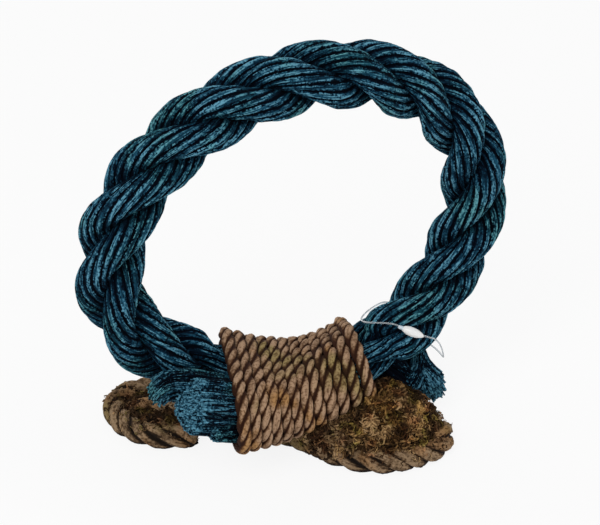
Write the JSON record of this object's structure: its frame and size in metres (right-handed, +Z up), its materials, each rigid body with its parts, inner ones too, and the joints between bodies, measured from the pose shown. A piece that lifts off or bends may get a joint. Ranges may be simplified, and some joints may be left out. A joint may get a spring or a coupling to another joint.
{
  "type": "standing rope ring",
  "caption": "Standing ring of thick laid rope, its lapped ends lashed with thin cord, on a cord foot with a mound of tow; a plastic tag loop hangs on it.",
  "frame": {"origin": "on the floor under the lashing, at the middle of the foot cord's front run", "axes": "+Z up, +Y from the front of the hoop to its back, +X to the hoop's right as seen from the front"},
  "size_m": [0.1506, 0.0844, 0.1468],
  "materials": {
    "ring_rope": "coarse laid rope, dark in the grooves",
    "core_wire": "plain drawn wire",
    "lashing": "matt twisted cord",
    "foot": "matt laid cord",
    "tow": "loose matted fibre",
    "tag_filament": "clear nylon",
    "tag_lock": "white moulded plastic"
  },
  "bodies": {
    "ring": {"ring_strand_1": "ring_rope", "ring_strand_2": "ring_rope", "ring_strand_3": "ring_rope", "core_wire": "core_wire", "lashing_cord": "lashing", "foot_cord": "foot", "tow_mound": "tow"},
    "tag": {"tag_filament": "tag_filament", "tag_lock": "tag_lock"}
  },
  "joints": [
    {"name": "tag_swing", "type": "hinge", "parent": "ring", "child": "tag", "pos_m": [0.04816, -0.00666, 0.04058], "axis": [0.7949, 0.076, 0.6019], "range_deg": [-75, 75]}
  ]
}
